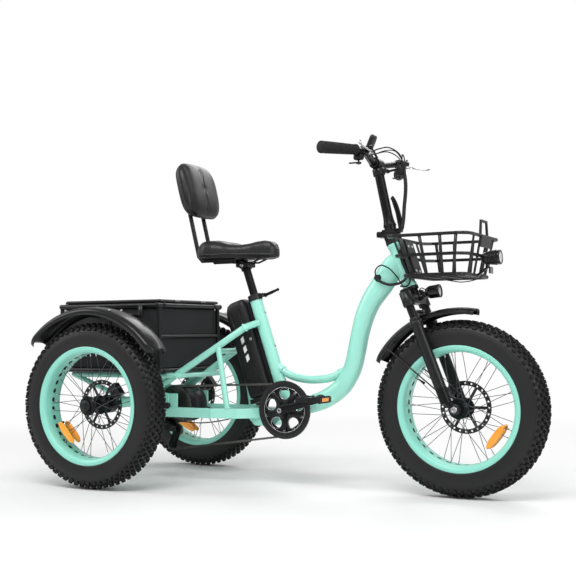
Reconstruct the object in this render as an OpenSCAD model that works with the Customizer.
// Electric tricycle: two rear wheels with a basket between them, one steered front wheel.
// Millimetres. X runs forward, Y to the left and Z up; the origin is on the ground, midway
// between the axles. Parts are drawn with the rear axle at X = 0 and shifted by place().

/* [Wheels] */
// Distance between the rear axle and the front axle
wheelbase = 1257; // [1240:1:1275]
// Distance between the centre planes of the two rear wheels
track = 730; // [725:1:745]
// Outside radius of each tyre
tyre_r = 298; // [297:1:299]
// Number of spokes in each wheel
spokes = 36; // [24:4:40]
/* [Drive] */
// Teeth on the chainring
ring_teeth = 46; // [44:1:46]
// Length of each crank arm between its two axes
crank_len = 170; // [165:1:172]
/* [Steering] */
// Lean of the steering axis back from vertical, degrees
head_lean = 21; // [20.5:0.1:21.5]
// Width over the grips
bar_width = 690; // [660:10:700]
/* [Luggage] */
// Inside length of the rear basket
box_len = 456; // [440:2:460]
// Width of the rear basket
box_w = 407; // [390:1:410]
/* [Hidden] */

mint = [0.42,0.86,0.74];
black = [0.05,0.05,0.055];
dark = [0.13,0.13,0.14];
steel = [0.6,0.6,0.62];

// Axes that run across the trike, as [x, z]
axle_z = tyre_r;
rear_axle = [0,axle_z];
front_axle = [wheelbase,axle_z];
motor = [150,285];
crank = [622,279];
// Wheel centres
right_wheel = [0,-track/2,axle_z];
left_wheel = [0,track/2,axle_z];
front_wheel = [wheelbase,0,axle_z];
chain_y = -64;      // plane of the chain from crank to motor
axle_chain_y = 70;  // plane of the chain from motor to rear axle
disc_y = 46;        // brake disc's offset from its wheel's centre plane
disc_slot_r = 94;   // slot cut in a caliper for the disc

// Three leaning axes. Each *_at gives a point a distance along the axis, then out square to
// it in the XZ plane, then across by y.
seat_top = [463,0,690];
seat_down = [133,0,-400]/norm([133,0,-400]);
seat_back = [seat_down[2],0,-seat_down[0]];
function seat_at(along, back=0, y=0) = seat_top + along*seat_down + back*seat_back + [0,y,0];
head_mid = [1051,0,785];
head_up = [-sin(head_lean),0,cos(head_lean)];
head_fore = [cos(head_lean),0,sin(head_lean)];
function head_at(along, fore=0, y=0) = head_mid + along*head_up + fore*head_fore + [0,y,0];
post_foot = [1009,0,914];
post_top = [966,0,1122];
post_up = (post_top-post_foot)/norm(post_top-post_foot);
post_fore = [post_up[2],0,-post_up[0]];
function post_at(along, fore=0, y=0) = post_foot + along*post_up + fore*post_fore + [0,y,0];

// Clamp pins and stem joints, as [x, z]
seat_pin = xz(seat_at(5, -35));
bar_pin = xz(post_at(206, 26));
hinge = [972,898];
latch_pin = [1047,909];

// ---- helpers ----
function xz(point) = [point[0],point[2]];
function on_mid(point) = [point[0],0,point[1]];
function flip(point) = [point[0],-point[1],point[2]];
function unit(angle) = [cos(angle),sin(angle)];
function heading(from, to) = atan2(to[1]-from[1], to[0]-from[0]);

// stands children at start with their Z axis towards end
module aim(start, end) {
  path = end-start;
  translate(start)
    rotate([0,acos(path[2]/norm(path)),atan2(path[1],path[0])])
      children();
}
module tube(start, end, radius, end_radius=undef)
  aim(start, end)
    cylinder(h=norm(end-start), r1=radius, r2=is_undef(end_radius) ? radius : end_radius,
      $fn=(radius<6 ? 28 : 48));
module ring(height, radius, bore, facets) difference() {
  cylinder(h=height, r=radius, $fn=facets);
  translate([0,0,-1]) cylinder(h=height+2, r=bore, $fn=facets);
}
module pipe(start, end, radius, bore)
  aim(start, end) ring(norm(end-start), radius, bore, 48);
module ball(centre, radius)
  translate(centre) sphere(r=radius*1.035, $fn=(radius<6 ? 14 : 32));
// tube through a list of points, with a ball at each bend
module run(points, radius) {
  for(i=[0:len(points)-2]) tube(points[i], points[i+1], radius);
  if(len(points)>2) for(i=[1:len(points)-2]) ball(points[i], radius);
}
// eight-sided rod
module bar(start, end, radius)
  aim(start, end) rotate([0,0,22.5]) cylinder(h=norm(end-start), r=radius, $fn=8);
// twenty-sided rod through a list of points, each length run on past its bends
module rods(points, radius, lap=2) for(i=[0:len(points)-2]) {
  path = points[i+1]-points[i];
  along = path/norm(path);
  start = points[i]-along*(i>0 ? lap : 0);
  end = points[i+1]+along*(i<len(points)-2 ? lap : 0);
  aim(start, end) cylinder(h=norm(end-start), r=radius, $fn=20);
}
// tubes and pipes on the leaning axes
module head_tube(low, high, radius) tube(head_at(low), head_at(high), radius);
module head_pipe(low, high, radius, bore) pipe(head_at(low), head_at(high), radius, bore);
module seat_tube(top, low, radius) tube(seat_at(top), seat_at(low), radius);
module post_tube(low, high, radius) tube(post_at(low), post_at(high), radius);
// cylinder and ring about an axis along Y through [x, z], between two y in either order
module across(centre, y) translate([centre[0],y,centre[1]]) rotate([-90,0,0]) children();
module yrod(centre, radius, y0, y1)
  across(centre, min(y0,y1)) cylinder(h=abs(y1-y0), r=radius, $fn=64);
module yring(centre, radius, bore, y0, y1)
  across(centre, min(y0,y1)) ring(abs(y1-y0), radius, bore, 64);
module mirror_y() {
  children();
  mirror([0,1,0]) children();
}
// turns a [radius, y] profile about the Y axis through centre
module turned(centre, start=0, sweep=360)
  translate(centre) rotate([90,0,0]) rotate([0,0,start])
    rotate_extrude(angle=sweep, $fn=96) children();
// extrudes an [x, z] outline from y0 up to y1
module slab(y0, y1) translate([0,y1,0]) rotate([90,0,0]) linear_extrude(y1-y0) children();
// round tube bent about [x, z] from angle start to angle stop
module bend(centre, bend_r, radius, start, stop)
  turned(on_mid(centre), start, stop-start) translate([bend_r,0]) circle(r=radius, $fn=48);
// outline round two circles
module pill(centre_a, radius_a, centre_b, radius_b) hull() {
  translate(centre_a) circle(r=radius_a, $fn=32);
  translate(centre_b) circle(r=radius_b, $fn=32);
}

// ---- frame ----
// The main tube's straight legs would meet at these [x, z] corners
main_top = [1043,808];
wide_corner = [920,648];
tight_corner = [831,290];
main_end = [622,277];
wide_r = 320;
tight_r = 185;
main_r = 30;
leg_r = main_r-0.4;
top_dir = heading(main_top, wide_corner);
steep_dir = heading(wide_corner, tight_corner);
level_dir = heading(tight_corner, main_end);
wide_cut = wide_r*tan((steep_dir-top_dir)/2);    // corner to the bend's end
tight_cut = tight_r*tan((steep_dir-level_dir)/2);
leg_lap = 3;                                     // each leg runs on into its bend

// down from the head tube, a wide bend, a steep leg, a tight bend, then level to the crank
module main_tube() {
  neck = main_top + 110*unit(top_dir);
  wide_in = wide_corner - wide_cut*unit(top_dir);
  wide_out = wide_corner + wide_cut*unit(steep_dir);
  tight_in = tight_corner - tight_cut*unit(steep_dir);
  tight_out = tight_corner + tight_cut*unit(level_dir);
  tube(on_mid(main_top), on_mid(neck), 21, leg_r);
  tube(on_mid(neck), on_mid(wide_in + leg_lap*unit(top_dir)), leg_r);
  slab(-16, 16) polygon([[1036,830],[952,726],[990,700],[1064,754]]);
  bend(wide_in + wide_r*unit(top_dir+90), wide_r, main_r, top_dir-90, steep_dir-90);
  tube(on_mid(wide_out - leg_lap*unit(steep_dir)),
    on_mid(tight_in + leg_lap*unit(steep_dir)), leg_r);
  bend(tight_in + tight_r*unit(steep_dir-90), tight_r, main_r, level_dir+90, steep_dir+90);
  tube(on_mid(tight_out - leg_lap*unit(level_dir)), on_mid(main_end), leg_r);
}
module main_frame() color(mint) difference() {
  union() {
    main_tube();
    head_tube(-82, 82, 23);
    head_tube(-82, -70, 25.5);
    head_tube(70, 82, 25.5);
    seat_tube(0, 412, 21);
    bend([706,620], 235, 15, 228, 308);
    yrod(crank, 24, -50, 50);
    tube([1012,0,700], head_at(-58), 13);
    // yoke behind the crank shell
    slab(-38, 38) polygon([[452,243],[478,216],[556,216],[604,258],[604,281],[452,281]]);
  }
  head_tube(-90, 90, 20);
  seat_tube(-5, 260, 15.05);
  yrod(crank, 20, -60, 60);
}
module dropout() slab(104, 110) difference() {
  polygon([[96,243],[180,243],[188,262],[188,330],[96,330]]);
  translate(motor) circle(r=6.3, $fn=48);
  translate([118,296]) square([20,14]);
}
rail_y = 150;    // basket rails
rail_z = 398;
module rear_frame() color(mint) {
  mirror_y() {
    tube([22,118,300], [468,80,576], 12.5);
    ball([468,80,576], 12.5);
    tube([468,80,576], [491,28,592], 12.5);
    // chain stay: level rectangular tube that widens round the motor
    translate([0,0,243]) linear_extrude(36)
      polygon([[90,102],[325,102],[420,80],[466,38.2],[504,38.2],[436,92],[340,118],[90,118]]);
    tube([359,92,503], [397,92,270], 10.5);
    dropout();
    slab(110, 114) polygon([[96,270],[150,262],[150,330],[96,345],[30,318],[30,300]]);
    // basket rail and struts
    tube([-268,rail_y,rail_z], [214,rail_y,rail_z], 10);
    ball([-268,rail_y,rail_z], 10);
    tube([-268,rail_y,rail_z], [-14,rail_y,304], 10);
    tube([206,106,396], [206,rail_y,rail_z], 10);
    tube([110,rail_y,396], [10,rail_y,306], 9);
  }
  tube([-200,-rail_y,rail_z], [-200,rail_y,rail_z], 9);
  tube([206,-106,396], [206,106,396], 9);
  tube([359,-92,488], [359,92,488], 10);
  yring(rear_axle, 20, 16, -262, 50);
  yring(rear_axle, 20, 16, 90, 262);
  tube([60,-134,343], [60,134,343], 9);
}
module axle_bearings() color(black)
  // outside radius, y from, y to
  for(seat=[[33,-296,-262.1],[15.95,20,50],[15.95,90,118],[33,262.1,296]])
    yring(rear_axle, seat[0], 8.55, seat[1], seat[2]);
module bearing_cups() color(black) {
  for(span=[[82.1,92],[-92,-82.1]]) head_pipe(span[0], span[1], 27, 14.05);
  for(span=[[68,82.2],[-82.2,-68]]) head_pipe(span[0], span[1], 19.9, 14.05);
  for(side=[-1,1]) {
    yring(crank, 19.9, 10.05, side*22, side*50);
    yring(crank, 25, 10.05, side*50.1, side*54);
  }
}
// seat tube frame: X to the back, Z down the tube
module along_seat()
  multmatrix([
    [seat_back[0],0,seat_down[0],seat_top[0]],
    [0,1,0,0],
    [seat_back[2],0,seat_down[2],seat_top[2]],
    [0,0,0,1]
  ]) children();
module battery_dock() color(black) difference() {
  along_seat() {
    translate([21.2,-18,14]) cube([11,36,360]);
    translate([21.2,-34,362]) cube([104,68,16]);
  }
  seat_tube(-9, 20, 26.4);
}
module battery_case() color(dark)
  along_seat() translate([0,0,-4]) linear_extrude(364)
    translate([33,-42]) offset(r=12, $fn=32) offset(delta=-12) square([95,84]);
module seat_clamp() color(black) {
  pipe(seat_at(-6), seat_at(16), 26, 21.05);
  pipe(seat_at(-6), seat_at(-0.1), 25, 15.1);
  for(y=[-9,9]) tube(seat_at(5,-25,y), seat_at(5,-42,y), 6);
  yrod(seat_pin, 3, -15, 23.5);
}
module seat_lever() color(black) difference() {
  union() {
    tube(seat_at(5,-35,16), seat_at(5,-35,22), 8);
    tube(seat_at(5,-38,20.4), seat_at(2,-88,25), 4.5);
    ball(seat_at(2,-88,25), 5.5);
  }
  yrod(seat_pin, 3.05, 0, 40);
}

// ---- front basket, on the head tube ----
tray_top = 872;
tray_low = 742;
module octagon(x0, x1, half, cut)
  polygon([[x0+cut,half],[x1-cut,half],[x1,half-cut],[x1,-half+cut],
    [x1-cut,-half],[x0+cut,-half],[x0,-half+cut],[x0,half-cut]]);
// flat-sided wire ring round the basket, r being half the wire's thickness
module basket_ring(x0, x1, half, z, r, cut)
  translate([0,0,z-r]) linear_extrude(2*r) difference() {
    octagon(x0-r, x1+r, half+r, cut+r*0.5);
    octagon(x0+r, x1-r, half-r, cut-r*0.5);
  }
module front_basket() color(black) {
  basket_ring(1062, 1343, 180, tray_top, 4.5, 34);
  basket_ring(1084, 1330, 163, 808, 5, 30);
  basket_ring(1108, 1316, 145, tray_low, 4.5, 26);
  // side wires: x at the top, x at the bottom
  for(side=[-1,1], wire=[[1112,1140],[1180,1192],[1250,1246],[1305,1284]])
    bar([wire[0],side*180,tray_top], [wire[1],side*145,tray_low], 3.9);
  // handle loop over the front
  translate([1339,0,0]) rotate([90,0,90]) linear_extrude(7) difference() {
    polygon([[-44,872],[-34,926],[34,926],[44,872]]);
    polygon([[-36,860],[-27,918],[27,918],[36,860]]);
  }
  // bracket to the head tube
  for(side=[-1,1]) slab(side*22-2, side*22+2)
    polygon([[1058,870],[1070,870],[1118,744],[1104,736],[1078,752],[1052,836]]);
  difference() {
    slab(-21, 21) polygon([[1046,838],[1066,846],[1096,760],[1076,748]]);
    head_tube(-100, 100, 23.1);
  }
  // front plate, then the arm to the headlamp
  slab(-59, 59) polygon([[1345,834],[1348,834],[1351,870],[1345,870]]);
  slab(-4, 4) polygon([[1314,739],[1320,739],[1357,766],[1359,788],[1352,788],[1350,770],
    [1314,744]]);
}
module basket_tray() color(black) {
  for(y=[-110,-36,36,110]) bar([1343,y,tray_top], [1316,y*0.85,tray_low], 4);
  for(y=[-110,-60,60,110]) bar([1062,y,tray_top], [1108,y*0.85,tray_low], 4);
  for(y=[-90,-54,-18,18,54,90]) translate([1111,y-3,739]) cube([203,6,6]);
  for(x=[1165,1225,1280]) translate([x-3,-143,738.5]) cube([6,286,5.5]);
}
module headlamp() color(black) {
  tube([1352,0,799], [1392,0,801], 20, 24);
  tube([1392.1,0,801], [1397,0,801.2], 21, 20);
  ball([1352,0,799], 19.9);
  tube([1354,0,786], [1354,0,770], 7);
  translate([1362,-14,748]) cube([5,28,22]);
}

// ---- rear basket ----
box_front = 174;
box_back = box_front-box_len;
box_half = box_w/2;
box_floor = 417;
box_rim = 660;
// rod across the basket
module cross_wire(x, z, radius) tube([x,-box_half,z], [x,box_half,z], radius);
module rear_basket_frame() color(black) {
  // three hoops: z, wire radius
  for(hoop=[[box_floor,8],[545,6],[box_rim,9]]) {
    for(side=[-1,1])
      tube([box_back,side*box_half,hoop[0]], [box_front,side*box_half,hoop[0]], hoop[1]);
    for(x=[box_back,box_front]) {
      cross_wire(x, hoop[0], hoop[1]);
      for(side=[-1,1]) ball([x,side*box_half,hoop[0]], hoop[1]);
    }
  }
  // uprights: x, radius
  for(post=[[box_back,8],[box_front,8],[-54,6]], side=[-1,1])
    tube([post[0],side*box_half,box_floor], [post[0],side*box_half,box_rim], post[1]);
  tube([box_front,-box_half-16,box_rim], [box_front,box_half+18,box_rim], 9);
  tube([box_back-8,-box_half,box_rim], [box_back+10,-box_half,box_rim], 9);
  for(x=[-180,-60,70]) cross_wire(x, box_floor, 6);
  // lid hinge knuckles
  for(y=[-60,20]) yring([box_back+6,672], 6.5, 2.45, y, y+40);
}
module rear_basket_liner() color(dark) difference() {
  translate([box_back+9.5,-box_half+9.5,box_floor+9])
    cube([box_len-19,box_w-19,box_rim-box_floor+2]);
  translate([box_back+13.5,-box_half+13.5,box_floor+13]) cube([box_len-27,box_w-27,300]);
}
module basket_lid() color(black) {
  translate([box_back+14,-box_half+2,671.5]) cube([box_len-10,box_w-4,11]);
  tube([box_back+6,-150,672], [box_back+6,150,672], 2.4);
  for(y=[-150,120]) translate([box_back+4,y,671.5]) cube([14,30,3]);
}

// ---- mudguards and rear fittings ----
module guard_profile(r, half, skirt)
  polygon([[r-skirt,half],[r-6,half-4],[r,half*0.6],[r+3,0],[r,-half*0.6],[r-6,-half+4],
    [r-skirt,-half],[r-skirt,-half+2.5],[r-8,-half+7],[r-3,-half*0.58],[r,0],
    [r-3,half*0.58],[r-8,half-7],[r-skirt,half-2.5]]);
module rear_fenders() color(black) mirror_y() {
  turned([0,365,axle_z], 34, 106) guard_profile(352, 56, 26);
  for(x=[-100,95]) {
    tube([x,box_half+8.1,617], [x,316,617], 5);
    translate([x-6,box_half+9,612]) cube([12,5,45]);
  }
}
module tail_lamp() color([0.6,0.05,0.05]) translate([box_back-14,-40,588]) cube([8,80,26]);
module rear_calipers() color(black) for(side=[-1,1]) {
  plane_y = side*(track/2-disc_y);
  difference() {
    union() {
      translate([0,plane_y,axle_z]) rotate([0,-38,0]) translate([64,-15,-22])
        cube([36,30,46]);
      tube([26,side*279,axle_z+12], [62,side*304,axle_z+48], 9);
    }
    across(rear_axle, plane_y-2.2) cylinder(h=4.4, r=disc_slot_r, $fn=96);
    yrod(rear_axle, 33.1, -400, 400);
  }
}

// ---- drive ----
chain_pitch = 12.7;
function pitch_r(teeth) = chain_pitch/(2*sin(180/teeth));
// A chain goes round each wheel with turn +1 anticlockwise or -1 clockwise in [x, z].
// heading of the straight run from one wheel to the next
function tangent(from, from_r, from_turn, to, to_r, to_turn) =
  heading(from, to) + asin((from_turn*from_r-to_turn*to_r)/norm(to-from));
// point on a wheel where the chain travels at the given heading
function rim_point(centre, radius, turn, angle) =
  [centre[0]+turn*radius*sin(angle), centre[1]-turn*radius*cos(angle)];
// points round a wheel from heading start to heading stop
function wrap(centre, radius, turn, start, stop, steps) =
  let(sweep = turn>0 ? ((stop-start)%360+360)%360 : -(((start-stop)%360+360)%360))
  [for(i=[0:steps]) rim_point(centre, radius, turn, start+sweep*i/steps)];
// two side plates between the outer and inner loops
module side_plates(outer, inner, y) for(side=[-1,1])
  slab(y+side*2.2-0.6, y+side*2.2+0.6) difference() {
    polygon(outer);
    polygon(inner);
  }
// pins at fractions of the straight run between two clockwise wheels
module chain_pins(from, from_r, to, to_r, angle, fractions, y) {
  start = rim_point(from, from_r, -1, angle);
  end = rim_point(to, to_r, -1, angle);
  for(part=fractions) yrod(start+(end-start)*part, 1.8, y-2.9, y+2.9);
}

upper_jockey = [160,189.5];
lower_jockey = [138,137];
jockey_r = 20.5;
ring_r = pitch_r(ring_teeth);
cog_teeth = [34,28,24,21,18,16,14];    // cassette, from the chain's cog outwards
cog_r = pitch_r(cog_teeth[0]);
low_run = tangent(crank, ring_r, -1, lower_jockey, jockey_r, -1);
jockey_run = tangent(lower_jockey, jockey_r, -1, upper_jockey, jockey_r, 1);
cog_run = tangent(upper_jockey, jockey_r, 1, motor, cog_r, -1);
top_run = tangent(motor, cog_r, -1, crank, ring_r, -1);
function drive_loop(out) = concat(
  wrap(crank, ring_r+out, -1, top_run, low_run, 40),
  wrap(lower_jockey, jockey_r+out, -1, low_run, jockey_run, 14),
  wrap(upper_jockey, jockey_r-out, 1, jockey_run, cog_run, 14),
  wrap(motor, cog_r+out, -1, cog_run, top_run, 30));
module drive_chain() color(steel) {
  parts = [0.25:0.1:0.8];
  side_plates(drive_loop(4.2), drive_loop(-4.2), chain_y);
  chain_pins(motor, cog_r, crank, ring_r, top_run, parts, chain_y);
  chain_pins(crank, ring_r, lower_jockey, jockey_r, low_run, parts, chain_y);
}

axle_teeth = 18;
axle_cog_r = pitch_r(axle_teeth);
back_run = tangent(motor, axle_cog_r, -1, rear_axle, axle_cog_r, -1);
fore_run = tangent(rear_axle, axle_cog_r, -1, motor, axle_cog_r, -1);
function axle_loop(out) = concat(
  wrap(motor, axle_cog_r+out, -1, fore_run, back_run, 24),
  wrap(rear_axle, axle_cog_r+out, -1, back_run, fore_run, 24));
module axle_chain() color(steel) {
  parts = [0.4:0.1:0.65];
  side_plates(axle_loop(4.2), axle_loop(-4.2), axle_chain_y);
  chain_pins(motor, axle_cog_r, rear_axle, axle_cog_r, back_run, parts, axle_chain_y);
  chain_pins(rear_axle, axle_cog_r, motor, axle_cog_r, fore_run, parts, axle_chain_y);
}

// toothed plate 2 thick; each tooth has four points: root, flank, tip, flank
module gear(centre, teeth, y, bore) slab(y-1, y+1) difference() {
  polygon([for(i=[0:teeth*4-1])
    centre + (pitch_r(teeth)+[-2.6,1.2,2.6,1.2][i%4])*unit(360*i/(teeth*4))]);
  translate(centre) circle(r=bore, $fn=64);
}
module chainring() color(black) {
  gear(crank, ring_teeth, chain_y, 70);
  // spider with five round openings
  slab(chain_y-3.6, chain_y+1) difference() {
    translate(crank) circle(r=ring_r-8, $fn=96);
    translate(crank) circle(r=13.1, $fn=48);
    for(i=[0:4]) translate(crank+58*unit(90+72*i)) circle(r=20, $fn=48);
  }
  // outer band and its five tabs
  slab(chain_y-7, chain_y-3.6) difference() {
    translate(crank) circle(r=104, $fn=96);
    translate(crank) circle(r=80, $fn=96);
  }
  slab(chain_y-7, chain_y-3.6)
    for(i=[0:4]) translate(crank) rotate(54+72*i) translate([62,-5]) square([22,10]);
}

crank_angle = 16;
right_pedal = crank+crank_len*unit(crank_angle);
left_pedal = crank-crank_len*unit(crank_angle);
module crank_arms() color(black) {
  yrod(crank, 10, -112, 112);
  yrod(crank, 13, chain_y-20, chain_y+4);
  for(arm=[[-1,right_pedal],[1,left_pedal]]) {
    side = arm[0];
    difference() {
      union() {
        hull() {
          yrod(crank, 18, side*96, side*110);
          yrod(arm[1], 13, side*98, side*110);
        }
        yrod(crank, 18, side*84, side*100);
      }
      yrod(arm[1], 7.05, -130, 130);
    }
  }
}
module pedal(centre, side) color(black) {
  yrod(centre, 7, side*97, side*216);
  translate([centre[0]-46,min(side*122, side*214),centre[1]-9]) difference() {
    cube([92,92,18]);
    for(x=[10,56]) translate([x,10,-1]) cube([26,72,20]);
  }
  yrod(centre, 11, side*114, side*122);
}
module cassette() color(steel) {
  for(i=[0:6]) gear(motor, cog_teeth[i], chain_y-5*i, 15.05);
  yring(motor, 19, 15.05, chain_y-31.5, chain_y+1);
}
module motor_shell() color(black) {
  difference() {
    union() {
      yrod(motor, 68, -52, 50);
      yrod(motor, 60, -55, 54);
      yrod(motor, 15, -97, -52);
      yrod(motor, 22, 50, axle_chain_y+1.5);
    }
    yrod(motor, 6.05, -120, 120);
  }
  gear(motor, axle_teeth, axle_chain_y, 20);
}
module derailleur() color(black) {
  yrod(motor, 6, -118, 118);
  for(side=[-1,1]) yrod(motor, 12, side*114.1, side*124);
  for(y=[chain_y-8.5,chain_y+5.5]) slab(y, y+2) pill(upper_jockey, 13, lower_jockey, 13);
  for(axis=[upper_jockey,lower_jockey]) yrod(axis, 3, chain_y-10, chain_y+8);
  slab(-101, chain_y-8.5) pill([150,200], 14, [118,222], 12);
  slab(-103.5, -97.5) pill([118,222], 10, [130,246], 9);
}
module jockey(centre) color(black) {
  gear(centre, 10, chain_y, 12);
  for(side=[-1,1]) yring(centre, 16, 3.05, chain_y+side, chain_y+side*3.4);
  yring(centre, 14, 3.05, chain_y-1, chain_y+1);
}

// ---- wheels ----
tyre_section_r = 51;
flange_y = 33;    // hub flange's offset from the wheel's centre plane
module tyre(centre) color(black) turned(centre) difference() {
  translate([tyre_r-tyre_section_r,0]) circle(r=tyre_section_r, $fn=96);
  translate([0,-60]) square([206,120]);
}
module rim(centre) color(mint) turned(centre)
  polygon([[189,-30],[189,30],[193,46],[212,46],[212,43],[205.9,42],[205.9,-42],[212,-43],
    [212,-46],[193,-46]]);
function wheel_at(centre, radius, angle, y) =
  centre + [radius*cos(angle),y,radius*sin(angle)];
// spokes alternate between flanges, and in pairs between leading and trailing
module spoke_set(centre) color(steel) for(i=[0:spokes-1]) {
  side = i%2==0 ? 1 : -1;
  lead = floor(i/2)%2==0 ? 1 : -1;
  angle = 360*i/spokes;
  tube(wheel_at(centre, 29, angle, side*(flange_y+lead*2.4)),
    wheel_at(centre, 190.5, angle+lead*46+3, side*7), 1.1);
}
// brake disc: drilled band, then six arms on a centre plate
module disc(centre, offset_y) {
  y = centre[1]+offset_y;
  slab(y-0.9, y+0.9) translate(xz(centre)) difference() {
    circle(r=90, $fn=96);
    circle(r=74, $fn=96);
    for(i=[0:23]) translate(82*unit(15*i)) circle(r=3.4, $fn=24);
  }
  slab(y-0.9, y+0.9) translate(xz(centre)) difference() {
    union() {
      for(i=[0:5]) rotate(60*i) translate([20,-5]) square([56,10]);
      circle(r=30, $fn=64);
    }
    circle(r=22, $fn=64);
  }
}
// barrel and collar are [y, y] from the wheel's centre plane
module hub_body(centre, bore, barrel, collar) difference() {
  axis = xz(centre);
  y = centre[1];
  union() {
    yrod(axis, 19, y+barrel[0], y+barrel[1]);
    for(side=[-1,1]) yrod(axis, 34, y+side*flange_y-2, y+side*flange_y+2);
    yrod(axis, 24, y+collar[0], y+collar[1]);
  }
  yrod(axis, bore, -500, 500);
}
module rear_hub(side) color(black) {
  centre = side>0 ? left_wheel : right_wheel;
  hub_body(centre, 8.5, [side*48,-side*50], [-side*44,-side*49]);
  // half axle; the right one carries the driven cog
  yrod(rear_axle, 8.5, side>0 ? 105 : axle_chain_y+14, side*418);
  disc(centre, -side*disc_y);
  if(side<0) {
    gear(rear_axle, axle_teeth, axle_chain_y, 8.5);
    yring(rear_axle, 18, 8.5, axle_chain_y-8, axle_chain_y+8);
  }
}
module front_hub() color(black) {
  hub_body(front_wheel, 6.05, [-52,52], [44,49]);
  disc(front_wheel, disc_y);
}

// ---- fork and steering ----
leg_y = 76;
// point on a fork leg at height z
function leg_at(z, side) = [head_mid[0]+(head_mid[2]-z)*tan(head_lean),side*leg_y,z];
module leg_tube(top, low, side, radius) tube(leg_at(top, side), leg_at(low, side), radius);
module fork_upper() color(black) {
  difference() {
    head_tube(-112, 103, 14);
    head_tube(-150, 120, 9);
  }
  head_tube(-127, -93, 22);
  for(side=[-1,1]) {
    leg_tube(690, 642, side, 20);
    leg_tube(668, 480, side, 14);
  }
  slab(-leg_y, leg_y) polygon([[1080,648],[1118,652],[1112,682],[1078,684]]);
  // folding base on the steerer
  difference() {
    union() {
      head_pipe(92.2, 118, 26, 9);
      slab(-24, 24) polygon([[966,885],[1036,885],[1040,897.5],[966,897.5]]);
    }
    translate([900,-60,897.5]) cube([200,120,60]);
    translate([950,-12.2,888]) cube([43,24.4,40]);
    head_tube(80, 118, 9);
  }
  for(side=[-1,1]) yrod(hinge, 7.5, side*12.2, side*22);
  yrod(hinge, 4, -22, 22);
}
module fork_lower() color(black) {
  for(side=[-1,1]) {
    difference() {
      union() {
        leg_tube(588, 318, side, 19.5);
        leg_tube(588, 576, side, 21.5);
      }
      leg_tube(600, 440, side, 14.05);
    }
    yrod(front_axle, 17, side*leg_y-8, side*leg_y+8);
    tube(leg_at(330, side), [wheelbase,side*leg_y,axle_z], 14, 10);
  }
  yrod(front_axle, 6, -86, 86);
  // arch between the legs
  difference() {
    run([leg_at(572,-1),[1118,-62,606],[1116,0,617],[1118,62,606],leg_at(572,1)], 8);
    for(side=[-1,1]) leg_tube(650, 440, side, 14.3);
    tube([wheelbase,-90,axle_z], [wheelbase,90,axle_z], 6);
  }
  // caliper on the left leg
  difference() {
    union() {
      translate([1184,40,338]) rotate([0,24,0]) cube([34,34,44]);
      tube([1212,70,352], [1200,60,352], 7);
    }
    yrod(front_axle, disc_slot_r, 43.6, 48.4);
    leg_tube(600, 440, 1, 14.05);
  }
}
module front_fender() color(black) {
  turned(front_wheel, 80, 72) guard_profile(336, 52, 20);
  for(side=[-1,1])
    tube([1004,side*54,axle_z+sqrt(330*330-253*253)-4], [wheelbase-22,side*62,axle_z+26], 2.6);
}
module horn() color(black) {
  tube([1151,0,690], [1182,0,694], 22, 23);
  tube([1139,0,688], [1151.1,0,690], 16, 22);
  tube([1114,0,666], [1142,0,686], 6);
}
module stem_post() color(black) {
  difference() {
    union() {
      // post, cut level above the folding base
      difference() {
        union() {
          post_tube(-6, 204, 16.5);
          post_tube(-6, 14, 21);
        }
        translate([900,-60,840]) cube([200,120,58.6]);
      }
      slab(-20, 20) polygon([[984,898.6],[1040,898.6],[1034,911],[984,911]]);
      slab(-11.8, 11.8)
        polygon([[972,890.4],[980,892],[992,899],[992,908],[972,905.6]]);
      yrod(hinge, 7.5, -11.8, 11.8);
    }
    yrod(hinge, 4.05, -30, 30);
    post_tube(12, 210, 13.05);
  }
  // clamp at the top, ears for the latch, and both pins
  pipe(post_at(196), post_at(217.5), 21, 13.05);
  for(side=[-1,1]) {
    slab(side*9-3, side*9+3) polygon([[1026,899],[1050,902],[1054,916],[1026,914]]);
    tube(post_at(206,18,side*9), post_at(206,33,side*9), 6);
  }
  yrod(latch_pin, 2.5, -12, 12);
  yrod(bar_pin, 2.5, -15, 25);
}
module stem_latch() color(black) difference() {
  union() {
    yrod(latch_pin, 6, -5.6, 5.6);
    slab(-5.6, 5.6)
      polygon([[1043,905],[1052,906],[1040,975],[1024,1024],[1014,1020],[1030,970]]);
    yrod([1019,1020], 6, -7, 7);
  }
  yrod(latch_pin, 2.55, -9, 9);
}
module bar_latch() color(black) difference() {
  union() {
    tube(post_at(206,26,15.2), post_at(206,26,24), 7);
    tube(post_at(206,29,20), post_at(204,72,26), 4.5);
    ball(post_at(204,72,26), 5.5);
  }
  yrod(bar_pin, 2.55, 0, 40);
}

clamp_axis = [960,1148];         // handlebar's middle, [x, z]
bar_bend = [972,-200,1166];      // right-hand points; the left are mirrored
bar_tip = [908,-bar_width/2,1158];
brake_pivot = [1008,170];        // [x, y]
thumb_pivot = [972,187];
module handlebar() color(black) {
  rods([bar_tip,bar_bend,[978,-150,1166],[960,-52,1148],
    [960,52,1148],[978,150,1166],flip(bar_bend),flip(bar_tip)], 11.1);
  // quill and clamp
  post_tube(100, 228, 13);
  yrod(clamp_axis, 20, -24, 24);
  post_tube(222.5, 236, 18);
  // brake and thumb lever mounts
  for(side=[-1,1]) {
    tube([984,side*146,1170], [1004,side*146,1168], 9);
    tube([988,side*132,1170], [1008,side*176,1168], 10);
    tube([978,side*151,1166], [975.6,side*172,1166], 15);
    translate([brake_pivot[0],side*brake_pivot[1],1150]) cylinder(h=30, r=3, $fn=32);
    tube([972,side*182,1166], [972,side*186,1136], 9);
    translate([thumb_pivot[0],side*thumb_pivot[1],1118]) cylinder(h=22, r=3, $fn=32);
  }
}
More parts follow.
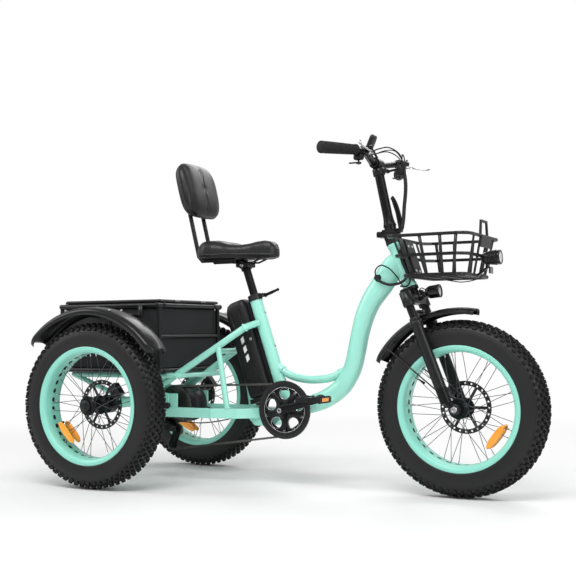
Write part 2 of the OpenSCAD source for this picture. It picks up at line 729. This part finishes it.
module grips() color([0.09,0.09,0.09]) for(side=[-1,1]) {
  start = [970.6,side*203,1165.8];
  end = [bar_tip[0],side*bar_width/2,bar_tip[2]];
  along = (end-start)/norm(end-start);
  pipe(start, end+along*0.5, 16.5, 11.2);
  tube(end+along*0.5, end+along*7, 16.5, 14);
  pipe(start, start+along*22, 18, 11.2);
}
module display() color(black) difference() {
  union() {
    translate([938,0,1218]) rotate([0,24,0]) translate([-8,-38,-30]) cube([15,76,74]);
    for(side=[-1,1]) {
      tube([948,side*22,1178], [946,side*22,1200], 5);
      translate([0,side*25,0]) yring(clamp_axis, 15, 11.15, -3.5, 3.5);
      tube([957,side*25,1161], [948,side*22,1180], 4.5);
    }
  }
  yrod(clamp_axis, 20.2, -24.2, 24.2);
  yrod(clamp_axis, 11.15, -60, 60);
}
module brake_lever(side) color(steel) difference() {
  pivot = [brake_pivot[0],side*brake_pivot[1]];
  union() {
    translate([pivot[0],pivot[1],1152]) cylinder(h=4.5, r=8, $fn=32);
    bar([1009,side*170.5,1154.2], [1026,side*204,1154.6], 2.1);
    bar([1025.9,side*200,1154.5], [1028,side*302,1162.2], 4.4);
    bar([1027.4,side*299,1161.6], [1034,side*322,1166], 4.3);
    bar([1032.6,side*318,1165], [1036,side*328,1167.6], 5.4);
  }
  translate([pivot[0],pivot[1],1100]) cylinder(h=100, r=3.05, $fn=32);
}
module thumb_lever(side, arm_y) color(black)
  translate([thumb_pivot[0],side*thumb_pivot[1],1120]) difference() {
    union() {
      cylinder(h=6, r=9, $fn=32);
      translate([-30,arm_y,1]) cube([34,9,4]);
    }
    translate([0,0,-1]) cylinder(h=9, r=3.05, $fn=32);
  }

// ---- seat ----
module seat_post() color(black) {
  seat_tube(-122, 150, 15);
  seat_tube(-128, -106, 20);
  yrod(xz(seat_at(-124)), 14, -30, 30);
}
module saddle_rails() color(dark) for(side=[-1,1])
  run([[500,side*24,830],[470,side*22,818],[385,side*22,818],[345,side*38,832]], 3.5);
// saddle from above, drawn in by inset: right half, nose point, mirrored left half
module saddle_plan(inset) {
  half = [[268+inset,-60],[276+inset,-96+inset],[300,-118+inset],[340,-124+inset],
    [385,-108+inset],[430,-72+inset],[480,-46+inset],[530,-36+inset],[556-inset,-26+inset]];
  polygon(concat(half, [[562-inset,0]], [for(i=[8:-1:0]) [half[i][0],-half[i][1]]]));
}
// [x, z] side outline cut to the plan
module saddle_part(outline, inset) intersection() {
  slab(-140, 140) polygon(outline);
  translate([0,0,700]) linear_extrude(300) saddle_plan(inset);
}
module saddle_base() color(black)
  saddle_part([[276,842],[340,835],[520,829],[556,834],[556,842],[340,846],[276,852]], 4);
module saddle_cover() color(black)
  saddle_part([[266,853],[340,847],[480,843.2],[562,843.2],[563,866],[548,884],[520,892],
    [480,888],[440,880],[400,884],[350,902],[310,905],[280,895],[266,876]], 0);
back_low = [246,846];    // backrest uprights' ends, [x, z]
back_top = [172,1150];
module backrest_tubes() color(black) {
  for(side=[-1,1]) {
    run([[404,side*45,829],[262,side*45,829],[back_low[0],side*45,back_low[1]],
      [back_top[0],side*45,back_top[1]]], 8);
    tube([395,side*38,826], [395,side*24,819], 5);
  }
  slab(-42, 42) polygon([[199,1012],[205,1013],[197,1046],[191,1045]]);
}
// point on the uprights' line at height z
function back_at(z, y=0) =
  [back_low[0]+(back_top-back_low)[0]*(z-back_low[1])/(back_top-back_low)[1],y,z];
module backrest_pad() color(black) {
  translate(back_at(991)) rotate([0,-13.68,0]) hull() for(side=[-1,1]) {
    translate([9.2,side*78,42]) rotate([0,90,0]) cylinder(h=44, r=40, $fn=32);
    translate([9.2,side*74,170]) rotate([0,90,0]) cylinder(h=42, r=43, $fn=32);
  }
  for(side=[-1,1]) pipe(back_at(1070,side*45), back_at(1100,side*45), 12.5, 8.05);
}

module place() translate([-wheelbase/2,0,0]) children();
place() main_frame();
place() rear_frame();
place() axle_bearings();
place() bearing_cups();
place() battery_dock();
place() seat_clamp();
place() front_basket();
place() basket_tray();
place() headlamp();
place() rear_basket_frame();
place() rear_basket_liner();
place() rear_fenders();
place() tail_lamp();
place() rear_calipers();
place() drive_chain();
place() axle_chain();
place() derailleur();
place() basket_lid();
place() battery_case();
place() seat_post();
place() saddle_rails();
place() saddle_base();
place() saddle_cover();
place() backrest_tubes();
place() backrest_pad();
place() seat_lever();
place() crank_arms();
place() chainring();
place() pedal(right_pedal, -1);  // pedal_right
place() pedal(left_pedal, 1);  // pedal_left
place() cassette();
place() motor_shell();
place() jockey(upper_jockey);  // jockey_upper
place() jockey(lower_jockey);  // jockey_lower
place() tyre(right_wheel);  // right_tyre
place() rim(right_wheel);  // right_rim
place() spoke_set(right_wheel);  // right_spokes
place() rear_hub(-1);  // right_hub
place() tyre(left_wheel);  // left_tyre
place() rim(left_wheel);  // left_rim
place() spoke_set(left_wheel);  // left_spokes
place() rear_hub(1);  // left_hub
place() tyre(front_wheel);  // front_tyre
place() rim(front_wheel);  // front_rim
place() spoke_set(front_wheel);  // front_spokes
place() front_hub();
place() fork_upper();
place() fork_lower();
place() front_fender();
place() horn();
place() stem_post();
place() stem_latch();
place() handlebar();
place() grips();
place() display();
place() brake_lever(-1);  // brake_lever_right
place() brake_lever(1);  // brake_lever_left
place() thumb_lever(-1, -14);  // shift_lever
place() thumb_lever(1, 5);  // throttle_lever
place() bar_latch();
